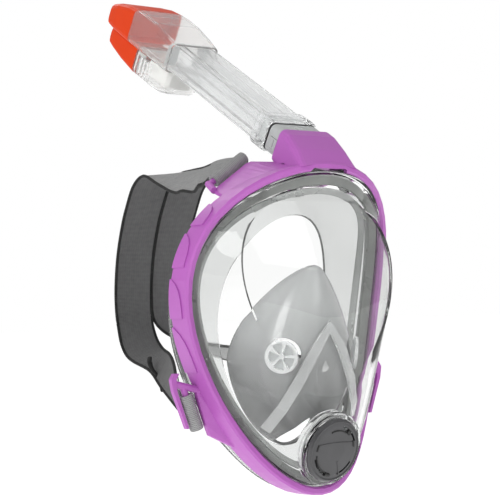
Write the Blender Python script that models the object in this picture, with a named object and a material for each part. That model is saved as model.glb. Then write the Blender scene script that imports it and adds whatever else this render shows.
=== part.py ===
"""Full face snorkel mask, as an assembly of separate pieces.

Units are metres and +Z is up.  The mask looks along -Y and +X is the wearer's left.
The origin is the centre of the face opening, at the depth where the seal meets the temples.
Sizes below are in millimetres and are scaled once, in vec().
"""
import bpy
import bmesh
from math import cos, pi, radians, sin
from mathutils import Matrix, Vector

MM = 0.001
RING_STEPS = 56            # points round the frame, the lens and the skirt
SEAL_SETBACK = 43.0        # face seal plane behind the frame's reference plane
FIT_GAP = 0.3              # clearance between touching pieces

# frame ring: half width, half height, and how it widens towards the forehead
RING_HALF_WIDTH = 87.2
RING_HALF_HEIGHT = 112.0
RING_EGG = 0.29
RING_SQUARE = -0.05
RING_WRAP = 24.4           # how far the temples stand back
RING_LEAN = -9.5           # forward lean for each 100 mm of height
RING_BOW = -15.7           # forehead and chin come forward
BAND_WIDTH = 5.9           # width of the front lip
BAND_DEPTH = 18.8          # depth of the side band

# front pane of the lens
PANE_HALF_WIDTH = 68.2
PANE_HALF_HEIGHT = 73.7
PANE_CENTRE_Z = 28.2
PANE_EGG = 0.24
PANE_Y = -18.2
PANE_LEAN = 0.079
PANE_BULGE = 11.0
LENS_WALL = 2.2

# chin valve
VALVE_CENTRE = (0.0, -21.5, -85.2)
VALVE_TILT = 16.3          # degrees below the horizontal
VALVE_RADIUS = 23.2
PORT_RADIUS = 26.8

# snorkel
TUBE_LEAN = 57.7           # degrees back from the vertical
SOCKET_RIM = (0.0, 2.2, 132.3)
TUBE_HALF_WIDTH = 20.7
TUBE_HALF_DEPTH = 10.6
TUBE_WALL = 1.6
CHANNEL_RIB_X = 7.5
SOCKET_FLOOR = -10.0       # depth of the connector's seat below the rim
COLLAR_START = 16.1
COLLAR_END = 31.5
TUBE_START = 27.3
TUBE_END = 163.0
HEAD_START = 157.0
HEAD_END = 218.0
CAP_END = 259.0

# strap hooks, as the two ends of each pin, on the wearer's right
UPPER_PIN = ((-63.0, 30.0, 105.5), (-31.0, 30.0, 126.0))
LOWER_PIN = ((-88.5, 34.0, -36.5), (-77.0, 34.0, -67.5))
KEEPER_ROUTE = ((-94.0, 34.0, -27.5), (-96.5, 34.0, -31.5), (-95.6, 34.0, -40.0), (-85.8, 34.0, -66.5))
LUG_EDGE = ((-63.7, 23.5, 101.2), (-32.2, 23.0, 122.6), (-22.2, 6.0, 121.0))
LUG_SPAN = (127.0, 108.0, 97.0)      # degrees round the band: the lug's foot, its corner, its end
LOWER_PLATE_SPAN = (200.0, 226.0)    # degrees round the band
UPPER_REACH = 7.0            # from the pin's axis to the edge of the lug
LOWER_REACH = 10.0
UPPER_ARM_TIP = 1.5          # how far the pin's arm runs past the pin
LOWER_ARM_TIP = 6.5
ARM_RADIUS = 2.6
PIN_RADIUS = 2.3
LOOP_RADIUS = 4.9

PURPLE = (0.47, 0.14, 0.51, 1)
ORANGE = (0.75, 0.10, 0.01, 1)
CLEAR = (0.85, 0.88, 0.88, 1)
SILICONE = (0.62, 0.64, 0.64, 1)
DARK = (0.07, 0.07, 0.075, 1)
BLACK = (0.01, 0.01, 0.01, 1)
STRAP_GREY = (0.10, 0.10, 0.10, 1)
LOOP_GREY = (0.28, 0.28, 0.28, 1)


# ---------------------------------------------------------------- mesh helpers

def vec(x, y, z):
    """A point in millimetres from the frame's reference plane, in the part's metres."""
    return Vector((x * MM, (y - SEAL_SETBACK) * MM, z * MM))


def material(name, colour, roughness=0.4, clear=False):
    mat = bpy.data.materials.get(name)
    if mat:
        return mat
    mat = bpy.data.materials.new(name)
    mat.use_nodes = True
    shader = mat.node_tree.nodes["Principled BSDF"]
    shader.inputs["Base Color"].default_value = colour
    shader.inputs["Roughness"].default_value = roughness
    shader.inputs["Metallic"].default_value = 0.0
    if clear:
        shader.inputs["Transmission Weight"].default_value = 0.9
    return mat


def solid(name, verts, faces, mat):
    """A closed mesh object with its faces turned outwards."""
    mesh = bpy.data.meshes.new(name)
    mesh.from_pydata([tuple(v) for v in verts], [], faces)
    build = bmesh.new()
    build.from_mesh(mesh)
    bmesh.ops.recalc_face_normals(build, faces=build.faces)
    build.to_mesh(mesh)
    build.free()
    mesh.shade_smooth()
    mesh.set_sharp_from_angle(angle=radians(35))
    mesh.materials.append(mat)
    obj = bpy.data.objects.new(name, mesh)
    bpy.context.collection.objects.link(obj)
    return obj


def band_faces(rows, count, wrap_rows):
    """Quads between successive rows of a closed loop."""
    faces = []
    last = rows if wrap_rows else rows - 1
    for row in range(last):
        below = row * count
        above = ((row + 1) % rows) * count
        for i in range(count):
            j = (i + 1) % count
            faces.append((below + i, below + j, above + j, above + i))
    return faces


def ring_solid(name, loops, mat):
    """Loops swept round into a hoop: the last loop joins the first."""
    count = len(loops[0])
    verts = [p for loop in loops for p in loop]
    return solid(name, verts, band_faces(len(loops), count, True), mat)


def capped_solid(name, loops, mat):
    """Loops stacked from one flat end to the other."""
    count = len(loops[0])
    verts = [p for loop in loops for p in loop]
    faces = band_faces(len(loops), count, False)
    faces.append(tuple(range(count)))
    top = (len(loops) - 1) * count
    faces.append(tuple(range(top, top + count)))
    return solid(name, verts, faces, mat)


def cutter(obj):
    obj.hide_render = True
    obj.display_type = "WIRE"
    return obj


def boolean(obj, other, operation):
    mod = obj.modifiers.new(operation.lower(), "BOOLEAN")
    mod.operation = operation
    mod.object = other
    mod.solver = "EXACT"
    cutter(other)


def set_origin(obj, point):
    """Moves an object's origin to a point without moving its mesh."""
    obj.data.transform(Matrix.Translation(-point))
    obj.location = point


def angles(count):
    return [2 * pi * i / count for i in range(count)]


# ---------------------------------------------------------------- outlines

def ring_point(t, out=0.0, back=0.0):
    """A point on the frame's inner lip, moved outwards in XZ and backwards in Y."""
    def flat(angle):
        widen = 1 + RING_EGG * sin(angle) + RING_SQUARE * cos(2 * angle)
        return RING_HALF_WIDTH * cos(angle) * widen, RING_HALF_HEIGHT * sin(angle)
    x, z = flat(t)
    ahead = flat(t + 0.01)
    behind = flat(t - 0.01)
    normal = Vector((ahead[1] - behind[1], behind[0] - ahead[0])).normalized()
    y = RING_WRAP * (x / RING_HALF_WIDTH) ** 2 + RING_LEAN * z / 100 + RING_BOW * (z / 100) ** 2
    return vec(x + out * normal.x, y + back, z + out * normal.y)


def ring_loop(out, back):
    return [ring_point(t, out, back) for t in angles(RING_STEPS)]


def pane_point(t, scale=1.0, bulge=0.0):
    """A point on the front pane, scale 1 at its edge and 0 at its centre."""
    x = PANE_HALF_WIDTH * cos(t) * (1 + PANE_EGG * sin(t)) * scale
    z = PANE_CENTRE_Z + PANE_HALF_HEIGHT * sin(t) * scale
    return vec(x, PANE_Y + PANE_LEAN * z - bulge * (1 - scale ** 2), z)


def face_loop(half_width, top, bottom, egg, y_side, y_top, y_bottom):
    """A loop round the face whose forehead, temples and chin lie at their own depths."""
    loop = []
    for t in angles(RING_STEPS):
        z = (top if sin(t) > 0 else bottom) * sin(t)
        y_end = y_top if sin(t) > 0 else y_bottom
        y = y_side * cos(t) ** 2 + y_end * sin(t) ** 2
        loop.append(vec(half_width * cos(t) * (1 + egg * sin(t)), y, z))
    return loop


def rounded_rectangle(half_x, half_y, radius, steps=3, centre_y=0.0):
    """Corner arcs of a rounded rectangle, counter-clockwise."""
    points = []
    corners = ((1, 1, 0), (-1, 1, 90), (-1, -1, 180), (1, -1, 270))
    for sign_x, sign_y, start in corners:
        for step in range(steps + 1):
            a = radians(start + 90 * step / steps)
            x = sign_x * (half_x - radius) + radius * cos(a)
            y = sign_y * (half_y - radius) + radius * sin(a)
            points.append((x, y + centre_y))
    return points


# ---------------------------------------------------------------- local frames

def tube_frame():
    """Columns: across the tube, through its depth to the back, and along it to the top."""
    lean = radians(TUBE_LEAN)
    return (Vector((1, 0, 0)), Vector((0, cos(lean), -sin(lean))), Vector((0, sin(lean), cos(lean))))


def tube_point(x, depth, along):
    across, back, up = tube_frame()
    return vec(*SOCKET_RIM) + (across * x + back * depth + up * along) * MM


def tube_loop(section, along):
    return [tube_point(x, depth, along) for x, depth in section]


def tube_prism(name, section, start, end, mat):
    return capped_solid(name, [tube_loop(section, start), tube_loop(section, end)], mat)


def valve_axes():
    tilt = radians(VALVE_TILT)
    outwards = Vector((0, -cos(tilt), -sin(tilt)))
    return Vector((1, 0, 0)), Vector((0, -sin(tilt), cos(tilt))), outwards


def turned(name, origin, axes, profile, steps, mat):
    """A solid turned about axes[2]: profile rows are (radius, height), bottom to top."""
    side, up, axis = axes
    loops = []
    for radius, height in profile:
        loops.append([origin + (side * cos(a) * radius + up * sin(a) * radius + axis * height) * MM
                      for a in angles(steps)])
    return capped_solid(name, loops, mat)


def turned_ring(name, origin, axes, profile, steps, mat):
    """A hoop turned about axes[2] from a closed profile of (radius, height) rows."""
    side, up, axis = axes
    loops = []
    for radius, height in profile:
        loops.append([origin + (side * cos(a) * radius + up * sin(a) * radius + axis * height) * MM
                      for a in angles(steps)])
    return ring_solid(name, loops, mat)


def block(name, origin, axes, half, mat):
    """A box with its half sizes along three axes."""
    loops = []
    for height in (-half[2], half[2]):
        corners = ((-1, -1), (1, -1), (1, 1), (-1, 1))
        loops.append([origin + (axes[0] * sx * half[0] + axes[1] * sy * half[1] + axes[2] * height) * MM
                      for sx, sy in corners])
    return capped_solid(name, loops, mat)


# ---------------------------------------------------------------- frame, lens, skirt

def head_loop(along, half_x, front, back, radius=4.5):
    """A rounded section of the snorkel line, from its front face to its back face."""
    section = rounded_rectangle(half_x, (back - front) / 2, radius, 3, (back + front) / 2)
    return tube_loop(section, along)


def socket_cutter(name):
    """The seat that the connector stands in, and the air passage below it."""
    clear_x = TUBE_HALF_WIDTH + FIT_GAP
    clear_y = TUBE_HALF_DEPTH + FIT_GAP
    loops = [head_loop(-55.0, 16.5, -1.5, 8.5, 3.0), head_loop(SOCKET_FLOOR, 16.5, -1.5, 8.5, 3.0),
             head_loop(SOCKET_FLOOR, clear_x, -clear_y, clear_y), head_loop(5.0, clear_x, -clear_y, clear_y)]
    return capped_solid(name, loops, material("frame_purple", PURPLE))


def frame_socket(mat):
    """The purple block that rises from the forehead to the connector's rim."""
    rows = ((-42.0, 26.5, -1.0, 24.0), (-34.0, 26.0, -3.6, 22.0), (-22.0, 24.6, -8.6, 18.5),
            (-8.0, 23.6, -12.6, 14.2), (0.0, 23.2, -12.9, 12.9))
    loops = [head_loop(*row) for row in rows]
    return capped_solid("socket_block", loops, mat)


def hook_plate(name, t_start, t_end, pin, reach, side, mat):
    """The tab between the frame's band and a strap pin."""
    steps = 4
    inner = []
    outer = []
    for i in range(steps + 1):
        part = i / steps
        band = ring_point(t_start + (t_end - t_start) * part, BAND_WIDTH - 1.0, BAND_DEPTH - 6.0)
        target = vec(*pin[0]).lerp(vec(*pin[1]), part)
        towards = (band - target).normalized()
        inner.append(band)
        outer.append(target + towards * reach * MM)
    depth = Vector((0, 3.4 * MM, 0))
    front = inner + outer[::-1]
    back = [p + depth for p in front]
    loops = [[Vector((side * p.x, p.y, p.z)) for p in loop] for loop in (front, back)]
    return capped_solid(name, loops, mat)


def bar(name, start, end, radius, mat, steps=10):
    axis = (end - start).normalized()
    side = axis.cross(Vector((0, 1, 0))).normalized()
    up = axis.cross(side)
    length = (end - start).length / MM
    return turned(name, start, (side, up, axis), ((radius, 0.0), (radius, length)), steps, mat)


def lug(name, side, mat):
    """The broad lug that joins the band, the upper strap pin and the flank of the socket block."""
    steps = 12
    edge = [vec(*p) for p in LUG_EDGE]
    start, corner, end = [radians(angle) for angle in LUG_SPAN]
    under = Vector((0, 2.4, -1.6)) * MM
    loops = []
    for i in range(steps + 1):
        t = start + (end - start) * i / steps
        inner = ring_point(t, BAND_WIDTH - 1.0, 6.0)
        if t > corner:
            outer = edge[0].lerp(edge[1], (start - t) / (start - corner))
        else:
            outer = edge[1].lerp(edge[2], (corner - t) / (corner - end))
        row = [inner, outer, outer + under, inner + under]
        loops.append([Vector((side * p.x, p.y, p.z)) for p in row])
    return capped_solid(name, loops, mat)


def keeper(name, side, mat):
    """The thin outer arm that runs down beside the strap roll on the lower hook."""
    corners = [vec(*p) for p in KEEPER_ROUTE]
    loops = []
    for point, half in zip(corners, (2.2, 2.2, 1.6, 1.1)):
        loops.append([Vector((side * (point.x + sx * half * MM), point.y + sy * 1.8 * MM, point.z))
                      for sx, sy in ((-1, -1), (1, -1), (1, 1), (-1, 1))])
    return capped_solid(name, loops, mat)


def hook(frame, side, plate, pin, root_angle, reach, tip_length, mat):
    """One strap hook: its plate, its pin and the arm that carries the pin at its lower end."""
    boolean(frame, plate, "UNION")
    start = vec(*pin[0])
    end = vec(*pin[1])
    root = ring_point(root_angle, BAND_WIDTH - 1.0, BAND_DEPTH - 4.3)
    foot = start + (root - start).normalized() * (reach + 4.0) * MM
    tip = start + (start - foot).normalized() * tip_length * MM
    ends = [Vector((side * p.x, p.y, p.z)) for p in (start, end, foot, tip)]
    boolean(frame, bar("pin", ends[0], ends[1], PIN_RADIUS, mat), "UNION")
    boolean(frame, bar("arm", ends[2], ends[3], ARM_RADIUS, mat), "UNION")


PAD_SPANS = ((135.0, 4.8), (149.5, 6.5), (167.0, 7.0), (185.0, 8.0))    # degrees: centre, half span
PAD_ARCH = (1.5, 8.0, 11.6, 13.4, 14.2, 14.4, 14.4)     # how far forward each pad reaches, top to foot


def scale_pads(frame, side, mat):
    """Raised D-shaped pads along the side band, each rounded above and square below."""
    for index, (centre, spread) in enumerate(PAD_SPANS):
        rows = []
        for i, arch in enumerate(PAD_ARCH):
            t = radians(centre + spread * (i / 3 - 1))
            low = ring_point(t, BAND_WIDTH - 1.2, BAND_DEPTH + 0.6)
            high = ring_point(t, BAND_WIDTH + 1.2, BAND_DEPTH + 0.6)
            shift = Vector((0, -arch * MM, 0))
            rows.append([low, high, high + shift, low + shift])
        loops = [[Vector((side * p.x, p.y, p.z)) for p in row] for row in rows]
        boolean(frame, capped_solid("pad_%d_%d" % (index, side), loops, mat), "UNION")


def make_frame():
    mat = material("frame_purple", PURPLE, 0.35)
    section = ((0.2, 0.6), (1.5, -0.9), (4.4, -0.9), (BAND_WIDTH, 0.4), (6.3, 9.0),
               (6.3, BAND_DEPTH), (3.3, BAND_DEPTH), (3.2, 3.5), (0.2, 3.5))
    frame = ring_solid("frame_bezel", [ring_loop(out, back) for out, back in section], mat)
    socket = frame_socket(mat)
    clearance = ((4.6, -45.0), (4.6, BAND_DEPTH - 2), (9.0, BAND_DEPTH + 1), (9.0, 45.0))
    inside = capped_solid("ring_inside", [ring_loop(out, back) for out, back in clearance], mat)
    boolean(socket, inside, "DIFFERENCE")
    boolean(frame, socket, "UNION")
    boolean(frame, socket_cutter("socket_hollow"), "DIFFERENCE")
    for side in (1, -1):
        scale_pads(frame, side, mat)
        plate = lug("lug", side, mat)
        hook(frame, side, plate, UPPER_PIN, radians(LUG_SPAN[0]), UPPER_REACH, UPPER_ARM_TIP, mat)
        first, last = [radians(angle) for angle in LOWER_PLATE_SPAN]
        plate = hook_plate("plate", first, last, LOWER_PIN, LOWER_REACH, side, mat)
        hook(frame, side, plate, LOWER_PIN, first, LOWER_REACH, LOWER_ARM_TIP, mat)
        boolean(frame, keeper("keeper_%d" % side, side, mat), "UNION")
    return frame


def lens_outer_loops(inset):
    """Loops of the lens surface, from the flange to the pane's middle."""
    lip = ring_loop(-0.6 - inset, 3.9 + inset)
    neck = ring_loop(-0.6 - inset, 0.4 + inset)
    loops = [lip, neck]
    for part in (0.2, 0.5, 0.8):
        loop = []
        for i, t in enumerate(angles(RING_STEPS)):
            chin = max(0.0, -sin(t)) ** 2
            edge = pane_point(t) + Vector((0, inset * MM, 0))
            edge.x -= inset * MM * cos(t)
            edge.z -= inset * MM * sin(t)
            swell = 4 * part * (1 - part)
            point = neck[i].lerp(edge, part)
            outwards = Vector((cos(t), -0.35 - 1.2 * chin, sin(t))).normalized()
            loop.append(point + outwards * swell * (1.0 + 8.0 * chin) * MM)
        loops.append(loop)
    for scale in (1.0, 0.96, 0.72, 0.42, 0.16):
        loop = []
        for t in angles(RING_STEPS):
            point = pane_point(t, scale - inset / PANE_HALF_WIDTH, PANE_BULGE)
            loop.append(point + Vector((0, inset * MM, 0)))
        loops.append(loop)
    return loops


def make_lens():
    mat = material("lens_clear", CLEAR, 0.05, True)
    outer = lens_outer_loops(0.0)
    inner = lens_outer_loops(LENS_WALL)
    flange = [ring_loop(2.7, 3.9), ring_loop(2.7, 6.0), ring_loop(-0.6 - LENS_WALL, 6.0)]
    loops = outer[::-1] + flange + inner[1:]
    lens = capped_solid("visor_lens", loops, mat)
    axes = valve_axes()
    centre = vec(*VALVE_CENTRE)
    port = turned("port_boss", centre, axes, ((PORT_RADIUS, -9.0), (PORT_RADIUS, 0.0)), 32, mat)
    boolean(lens, port, "UNION")
    bore_radius = VALVE_RADIUS + 0.5
    bore = turned("port_bore", centre, axes, ((bore_radius, -30.0), (bore_radius, 12.0)), 32, mat)
    boolean(lens, bore, "DIFFERENCE")
    return lens


def make_skirt():
    mat = material("silicone", SILICONE, 0.5)
    loops = [
        ring_loop(2.9, 6.4),
        ring_loop(2.9, BAND_DEPTH + 0.8),
        face_loop(90.0, 118.0, 116.0, 0.20, 43.0, 1.0, 20.0),
        face_loop(87.0, 113.0, 111.0, 0.19, 50.0, 10.0, 30.0),
        face_loop(76.0, 102.0, 100.0, 0.16, 53.0, 17.0, 37.0),
        face_loop(60.0, 91.0, 90.0, 0.13, 48.5, 15.5, 36.0),
        face_loop(49.5, 83.0, 84.0, 0.10, 43.0, 12.0, 33.0),
        face_loop(50.0, 83.5, 84.5, 0.10, 41.3, 10.2, 31.2),
        face_loop(60.0, 91.0, 90.0, 0.13, 46.0, 13.0, 33.6),
        face_loop(75.0, 101.0, 99.0, 0.16, 50.6, 14.4, 34.6),
        face_loop(84.5, 110.5, 108.5, 0.19, 48.0, 8.0, 28.0),
        face_loop(87.5, 115.5, 113.5, 0.20, 42.0, 0.5, 19.0),
        ring_loop(0.4, BAND_DEPTH + 0.4),
        ring_loop(0.4, 6.4),
    ]
    skirt = ring_solid("face_skirt", loops, mat)
    boolean(skirt, socket_cutter("skirt_slot"), "DIFFERENCE")
    return skirt


# ---------------------------------------------------------------- nose and mouth pocket

POCKET_ROWS = (
    # half width, top, bottom, side depth, nose bridge depth, chin depth
    (46.0, 46.0, -84.0, 38.0, -7.0, 30.0),
    (45.0, 45.0, -84.0, 22.0, -9.0, 22.0),
    (40.0, 41.0, -80.0, 2.0, -11.5, 10.0),
    (32.0, 34.0, -74.0, -10.0, -14.0, 2.0),
    (21.0, 20.0, -58.0, -15.5, -17.0, -6.0),
    (9.0, 0.0, -40.0, -18.0, -19.0, -12.0),
)
POCKET_STEPS = 40
POCKET_WALL = 1.8
INHALE_CENTRE = (-34.0, -9.6, -18.0)
INHALE_NORMAL = (-0.80, -0.58, -0.12)


def pocket_loop(row, inset):
    half_width, top, bottom, y_side, y_top, y_bottom = row
    middle = (top + bottom) / 2
    half_height = (top - bottom) / 2 - inset
    loop = []
    for t in angles(POCKET_STEPS):
        narrow = 1 - 0.30 * max(0.0, sin(t)) - 0.12 * max(0.0, -sin(t))
        x = (half_width - inset) * cos(t) * narrow
        z = middle + half_height * sin(t)
        y_end = y_top if sin(t) > 0 else y_bottom
        y = y_side * cos(t) ** 2 + y_end * sin(t) ** 2
        loop.append(vec(x, y + inset * 0.8, z))
    return loop


def valve_frame(side):
    """Axes of a pocket valve: across, up and outwards."""
    outwards = Vector((side * -INHALE_NORMAL[0], INHALE_NORMAL[1], INHALE_NORMAL[2])).normalized()
    across = Vector((0, 0, 1)).cross(outwards).normalized()
    return across, outwards.cross(across), outwards


def valve_origin(side):
    return vec(side * -INHALE_CENTRE[0], INHALE_CENTRE[1], INHALE_CENTRE[2])


def make_pocket():
    mat = material("silicone_pocket", SILICONE, 0.5)
    outer = [pocket_loop(row, 0.0) for row in POCKET_ROWS]
    inner = [pocket_loop(row, POCKET_WALL) for row in POCKET_ROWS]
    pocket = capped_solid("orinasal_pocket", outer[::-1] + inner, mat)
    for side in (1, -1):
        hole = turned("inhale_hole_%d" % side, valve_origin(side), valve_frame(side),
                      ((12.3, -14.0), (12.3, 14.0)), 24, mat)
        boolean(pocket, hole, "DIFFERENCE")
    drain = turned("drain_hole", vec(*VALVE_CENTRE), valve_axes(), ((17.3, -48.0), (17.3, 5.0)), 24, mat)
    boolean(pocket, drain, "DIFFERENCE")
    return pocket


VALVE_SPOKES = 5
SPOKE_HALF_ANGLE = 0.17


def spoked_plate(name, origin, axes, radius, hub, thickness, mat, lift=0.0):
    """A round seat with open sectors between its rim, spokes and hub."""
    low = lift - thickness / 2
    high = lift + thickness / 2
    seat = turned(name, origin, axes, ((radius, low), (radius, high)), 24, mat)
    steps = 5
    for index in range(VALVE_SPOKES):
        start = 2 * pi * index / VALVE_SPOKES + SPOKE_HALF_ANGLE
        stop = 2 * pi * (index + 1) / VALVE_SPOKES - SPOKE_HALF_ANGLE
        arc = [start + (stop - start) * i / steps for i in range(steps + 1)]
        outer = [(cos(a) * (radius - 2.4), sin(a) * (radius - 2.4)) for a in arc]
        inner = [(cos(a) * hub, sin(a) * hub) for a in arc[::-1]]
        loops = [[origin + (axes[0] * u + axes[1] * v + axes[2] * h) * MM for u, v in outer + inner]
                 for h in (low - 3.0, high + 3.0)]
        boolean(seat, capped_solid("%s_window_%d" % (name, index), loops, mat), "DIFFERENCE")
    return seat


def make_inhale_valves():
    for side, label in ((1, "left"), (-1, "right")):
        origin = valve_origin(side)
        axes = valve_frame(side)
        spoked_plate("inhale_seat_" + label, origin, axes, 12.0, 2.2, 2.2,
                     material("valve_clear", CLEAR, 0.2, True))
        flap = turned("inhale_flap_" + label, origin, axes, ((9.0, -2.1), (10.6, -1.4)), 24,
                      material("flap_silicone", SILICONE, 0.5))
        set_origin(flap, origin)


def make_retainer():
    """The clear band that runs down both sides of the pocket from the nose ridge."""
    route = ((-40.5, 2.5, -69.0), (-34.0, -8.0, -55.0), (-24.0, -15.8, -36.0), (-12.0, -20.8, -14.0),
             (0.0, -23.0, 2.0), (12.0, -20.8, -14.0), (24.0, -15.8, -36.0), (34.0, -8.0, -55.0),
             (40.5, 2.5, -69.0))
    points = [vec(*p) for p in route]
    loops = []
    for i, point in enumerate(points):
        ahead = points[min(i + 1, len(points) - 1)]
        behind = points[max(i - 1, 0)]
        along = (ahead - behind).normalized()
        facing = Vector((point.x * 8, -1.0, 0)).normalized()
        across = along.cross(facing).normalized() * 4.0 * MM
        thick = across.cross(along).normalized() * 0.8 * MM
        loops.append([point - across - thick, point + across - thick, point + across + thick,
                      point - across + thick])
    return capped_solid("pocket_retainer", loops, material("retainer_clear", CLEAR, 0.15, True))


# ---------------------------------------------------------------- chin valve

def make_chin_valve():
    origin = vec(*VALVE_CENTRE)
    axes = valve_axes()
    clear = material("valve_seat_grey", CLEAR, 0.3, True)
    spoked_plate("chin_valve_seat", origin, axes, VALVE_RADIUS + 0.2, 3.4, 3.0, clear, lift=-6.0)
    membrane = turned("chin_valve_membrane", origin, axes, ((18.0, -4.1), (19.0, -3.3)), 28,
                      material("membrane", SILICONE, 0.5))
    set_origin(membrane, origin)
    make_chin_cover(origin, axes)


def make_chin_cover(origin, axes):
    mat = material("cover_grey", DARK, 0.45)
    profile = ((VALVE_RADIUS, -1.2), (VALVE_RADIUS, 1.0), (VALVE_RADIUS - 1.2, 2.4), (18.0, 3.1), (8.0, 3.6))
    cover = turned("chin_valve_cover", origin, axes, profile, 36, mat)
    for start, stop in ((20.0, 75.0), (195.0, 265.0), (285.0, 330.0)):
        arc = [radians(start + (stop - start) * i / 6) for i in range(7)]
        outer = [(cos(a) * 18.6, sin(a) * 18.6) for a in arc]
        inner = [(cos(a) * 17.0, sin(a) * 17.0) for a in arc[::-1]]
        loops = [[origin + (axes[0] * u + axes[1] * v + axes[2] * h) * MM for u, v in outer + inner]
                 for h in (-6.0, 8.0)]
        boolean(cover, capped_solid("cover_slot_%d" % start, loops, mat), "DIFFERENCE")
    set_origin(cover, origin)


# ---------------------------------------------------------------- snorkel

def channel_sections(half_x, half_y, radius):
    """The three air channels of a tube section: exhale, inhale, exhale."""
    rib = 0.6
    side_half = (half_x - CHANNEL_RIB_X - rib) / 2
    side_centre = CHANNEL_RIB_X + rib + side_half
    middle = rounded_rectangle(CHANNEL_RIB_X - rib, half_y, 0.8, 2)
    sections = [middle]
    for sign in (-1, 1):
        shape = rounded_rectangle(side_half, half_y, min(radius, side_half * 0.9), 2)
        sections.append([(x + sign * side_centre, y) for x, y in shape])
    return sections


def cut_channels(obj, half_x, half_y, radius, start, end, mat):
    for index, section in enumerate(channel_sections(half_x, half_y, radius)):
        name = "%s_channel_%d" % (obj.name, index)
        boolean(obj, tube_prism(name, section, start, end, mat), "DIFFERENCE")


def make_connector():
    mat = material("connector_grey", CLEAR, 0.3, True)
    body = rounded_rectangle(TUBE_HALF_WIDTH, TUBE_HALF_DEPTH, 4.0)
    spigot = rounded_rectangle(17.6, 7.6, 3.0)
    loops = [tube_loop(body, SOCKET_FLOOR + FIT_GAP), tube_loop(body, 14.0), tube_loop(spigot, 14.0),
             tube_loop(spigot, 26.9)]
    connector = capped_solid("snorkel_connector", loops, mat)
    cut_channels(connector, 16.2, 6.2, 2.4, -30.0, 40.0, mat)
    across, back, up = tube_frame()
    for side in (1, -1):
        pocket = block("latch_pocket_%d" % side, tube_point(side * TUBE_HALF_WIDTH, 1.5, 6.5),
                       (across, back, up), (2.6, 4.3, 4.3), mat)
        boolean(connector, pocket, "DIFFERENCE")


def make_gasket():
    outer = rounded_rectangle(TUBE_HALF_WIDTH + 0.25, TUBE_HALF_DEPTH + 0.25, 4.2)
    inner = rounded_rectangle(17.9, 7.9, 3.2)
    loops = [tube_loop(outer, 14.3), tube_loop(outer, 15.8), tube_loop(inner, 15.8), tube_loop(inner, 14.3)]
    ring_solid("connector_gasket", loops, material("gasket_black", BLACK, 0.6))


def make_latches():
    mat = material("latch_grey", CLEAR, 0.3)
    axes = tube_frame()
    for side, label in ((1, "left"), (-1, "right")):
        origin = tube_point(side * (TUBE_HALF_WIDTH - 0.1), 1.5, 6.5)
        latch = block("latch_" + label, origin, axes, (0.6, 3.9, 3.9), mat)
        rib = block("latch_rib_" + label, origin + axes[0] * side * 0.7 * MM, axes, (0.5, 2.6, 0.8), mat)
        boolean(latch, rib, "UNION")
        set_origin(latch, origin)


def make_collar():
    mat = material("collar_clear", CLEAR, 0.1, True)
    outer = rounded_rectangle(22.4, 12.2, 4.6)
    bore = rounded_rectangle(17.95, 7.95, 3.3)
    seat = rounded_rectangle(TUBE_HALF_WIDTH + FIT_GAP, TUBE_HALF_DEPTH + FIT_GAP, 4.2)
    loops = [tube_loop(outer, COLLAR_START), tube_loop(outer, COLLAR_END), tube_loop(seat, COLLAR_END),
             tube_loop(seat, TUBE_START - FIT_GAP), tube_loop(bore, TUBE_START - FIT_GAP),
             tube_loop(bore, COLLAR_START)]
    ring_solid("tube_collar", loops, mat)


def make_tube():
    mat = material("tube_clear", CLEAR, 0.08, True)
    section = rounded_rectangle(TUBE_HALF_WIDTH, TUBE_HALF_DEPTH, 4.0)
    tube = tube_prism("snorkel_tube", section, TUBE_START, TUBE_END, mat)
    cut_channels(tube, TUBE_HALF_WIDTH - TUBE_WALL, TUBE_HALF_DEPTH - TUBE_WALL, 3.0, TUBE_START - 5,
                 TUBE_END + 5, mat)


HEAD_ROWS = (
    # along, half width, front face, back face
    (HEAD_START, 22.6, -12.4, 12.2),
    (172.0, 23.4, -14.6, 12.2),
    (190.0, 24.0, -16.8, 12.2),
    (206.0, 24.0, -17.2, 12.2),
    (HEAD_END, 24.0, -16.8, 12.2),
)


def make_head():
    mat = material("head_clear", CLEAR, 0.1, True)
    wall = 1.5
    outer = [head_loop(*row) for row in HEAD_ROWS]
    inner = [head_loop(along, half_x - wall, front + wall, back - wall, 4.5 - wall)
             for along, half_x, front, back in HEAD_ROWS]
    head = ring_solid("dry_top_housing", outer + inner[::-1], mat)
    vent = tube_prism("head_vent", rounded_rectangle(12.0, 6.0, 1.0, 1, 12.0), 182.0, 208.0, mat)
    boolean(head, vent, "DIFFERENCE")
    return head


def make_top_cap():
    """Orange cap over the head, drawn to a blunt wedge, with a hollow underside."""
    mat = material("cap_orange", ORANGE, 0.4)
    start = HEAD_END + FIT_GAP
    rows = ((start, 24.0, -16.8, 12.2), (230.0, 23.8, -15.4, 12.2), (246.0, 23.2, -11.2, 12.0),
            (CAP_END - 3, 22.2, -7.0, 11.4), (CAP_END, 20.4, -4.8, 10.0))
    hollow = ((230.0, 21.6, -13.4, 10.2), (start, 22.2, -14.8, 10.4))
    return capped_solid("top_cap", [head_loop(*row) for row in hollow + rows], mat)


CAGE_START = 149.0
CAGE_END = 212.0
CAGE_HALF_WIDTH = 15.5
CAGE_FRONT = 12.6
CAGE_BACK = 35.5


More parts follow.
